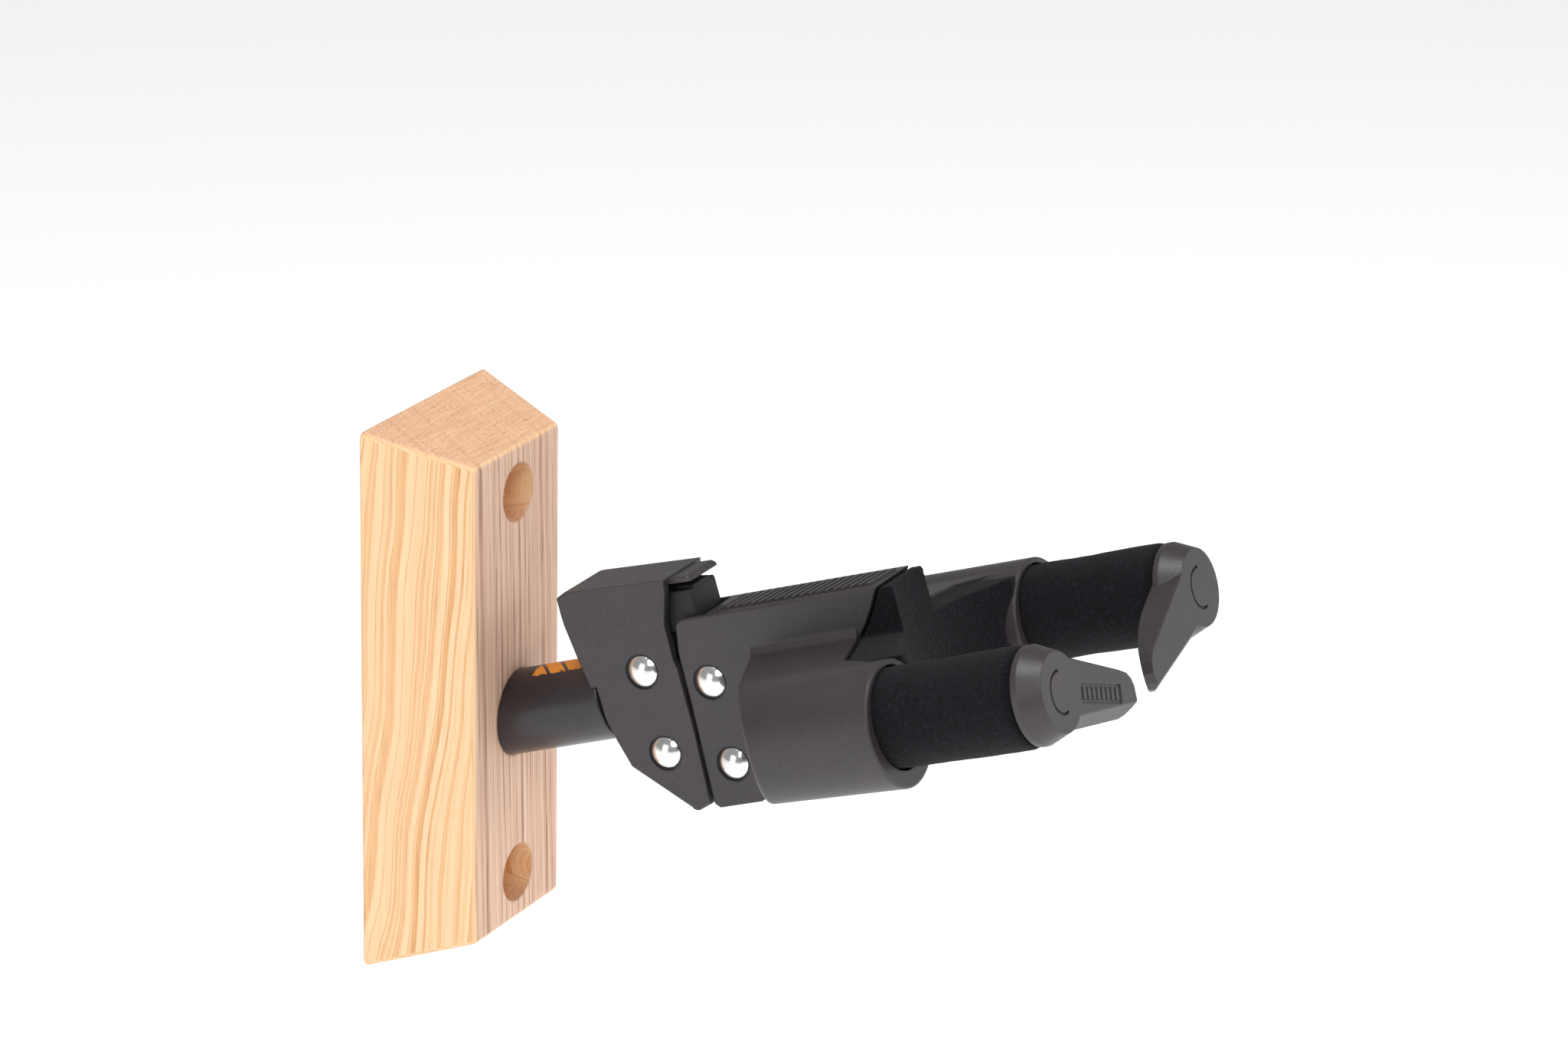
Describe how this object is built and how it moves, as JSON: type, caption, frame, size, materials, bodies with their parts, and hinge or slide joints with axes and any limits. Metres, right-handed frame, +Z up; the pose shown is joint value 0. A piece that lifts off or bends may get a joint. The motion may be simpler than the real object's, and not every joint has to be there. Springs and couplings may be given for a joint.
{
  "type": "wall guitar hanger",
  "caption": "Wall hanger for a guitar or ukulele: bevelled wood base, steel tube, swivelling yoke with foam arms and fingers that close under load.",
  "frame": {"origin": "centre of the wood base's flat back face, where it meets the wall", "axes": "+X to the right along the wall, +Y into the wall, +Z up; the tube and arms point out of the wall towards -Y and rise"},
  "size_m": [0.0998, 0.1729, 0.1236],
  "materials": {
    "ash_wood": "clear satin oil over ash grain",
    "black_steel": "semi-gloss black powder coat",
    "zinc_steel": "bright zinc plate",
    "spring_steel": "oiled spring steel",
    "link_steel": "pressed steel, dark phosphate",
    "arm_steel": "black coat",
    "bush_plastic": "acetal",
    "charcoal_plastic": "moulded nylon, fine spark texture",
    "core_plastic": "moulded glass-filled nylon",
    "gate_plastic": "moulded nylon, fine spark texture",
    "polished_rivet": "polished nickel",
    "black_foam": "closed-cell foam, skinned, fine pores"
  },
  "bodies": {
    "wall_base": {"wood_base": "ash_wood", "support_tube": "black_steel", "tube_plug": "zinc_steel", "anchor_bolt": "zinc_steel", "anchor_washer": "zinc_steel", "swivel_bush": "bush_plastic"},
    "swivel_head": {"swivel_spigot": "zinc_steel", "spigot_washer": "zinc_steel", "spigot_circlip": "spring_steel", "rear_bracket_left": "charcoal_plastic", "rear_bracket_right": "charcoal_plastic", "bracket_core": "core_plastic", "upper_rear_rivet": "polished_rivet", "lower_rear_rivet": "polished_rivet", "drive_bar": "link_steel", "lift_spring": "spring_steel"},
    "upper_link": {"upper_link": "link_steel"},
    "lower_link": {"lower_link": "link_steel"},
    "yoke": {"yoke_housing_left": "charcoal_plastic", "yoke_housing_right": "charcoal_plastic", "housing_screws": "zinc_steel", "upper_front_rivet": "polished_rivet", "lower_front_rivet": "polished_rivet", "saddle_pad": "black_foam", "left_arm_tube": "arm_steel", "left_foam_sleeve": "black_foam", "left_arm_bushes": "bush_plastic", "right_arm_tube": "arm_steel", "right_foam_sleeve": "black_foam", "right_arm_bushes": "bush_plastic"},
    "left_gate": {"left_gate": "gate_plastic", "left_gate_shaft": "zinc_steel", "left_crank": "link_steel", "left_crank_pin": "zinc_steel"},
    "right_gate": {"right_gate": "gate_plastic", "right_gate_shaft": "zinc_steel", "right_crank": "link_steel", "right_crank_pin": "zinc_steel"}
  },
  "joints": [
    {"name": "head_swivel", "type": "hinge", "parent": "wall_base", "child": "swivel_head", "pos_m": [0, -0.04893, 0.00207], "axis": [0, -0.9484, 0.3171], "range_deg": [-45, 45]},
    {"name": "upper_link_lift", "type": "hinge", "parent": "swivel_head", "child": "upper_link", "pos_m": [0, -0.05903, 0.01193], "axis": [-1, 0, 0], "range_deg": [0, 17.1], "deforming": ["lift_spring"]},
    {"name": "lower_link_lift", "type": "hinge", "parent": "swivel_head", "child": "lower_link", "pos_m": [0, -0.06491, -0.00566], "axis": [-1, 0, 0], "range_deg": [0, 17.1]},
    {"name": "yoke_level", "type": "hinge", "parent": "upper_link", "child": "yoke", "pos_m": [0, -0.07514, 0.01231], "axis": [-1, 0, 0], "range_deg": [-17.1, 0]},
    {"name": "left_gate_turn", "type": "hinge", "parent": "yoke", "child": "left_gate", "pos_m": [-0.03645, -0.1631, 0.03431], "axis": [0, -0.9484, 0.3171], "range_deg": [-69.89, 0]},
    {"name": "right_gate_turn", "type": "hinge", "parent": "yoke", "child": "right_gate", "pos_m": [0.03645, -0.1631, 0.03431], "axis": [0, -0.9484, 0.3171], "range_deg": [0, 69.89]}
  ],
  "couplings": [
    {"joint": "lower_link_lift", "follows": "upper_link_lift", "ratio": 1},
    {"joint": "yoke_level", "follows": "upper_link_lift", "ratio": -1},
    {"joint": "left_gate_turn", "follows": "upper_link_lift", "ratio": -4.084},
    {"joint": "right_gate_turn", "follows": "upper_link_lift", "ratio": 4.084}
  ]
}
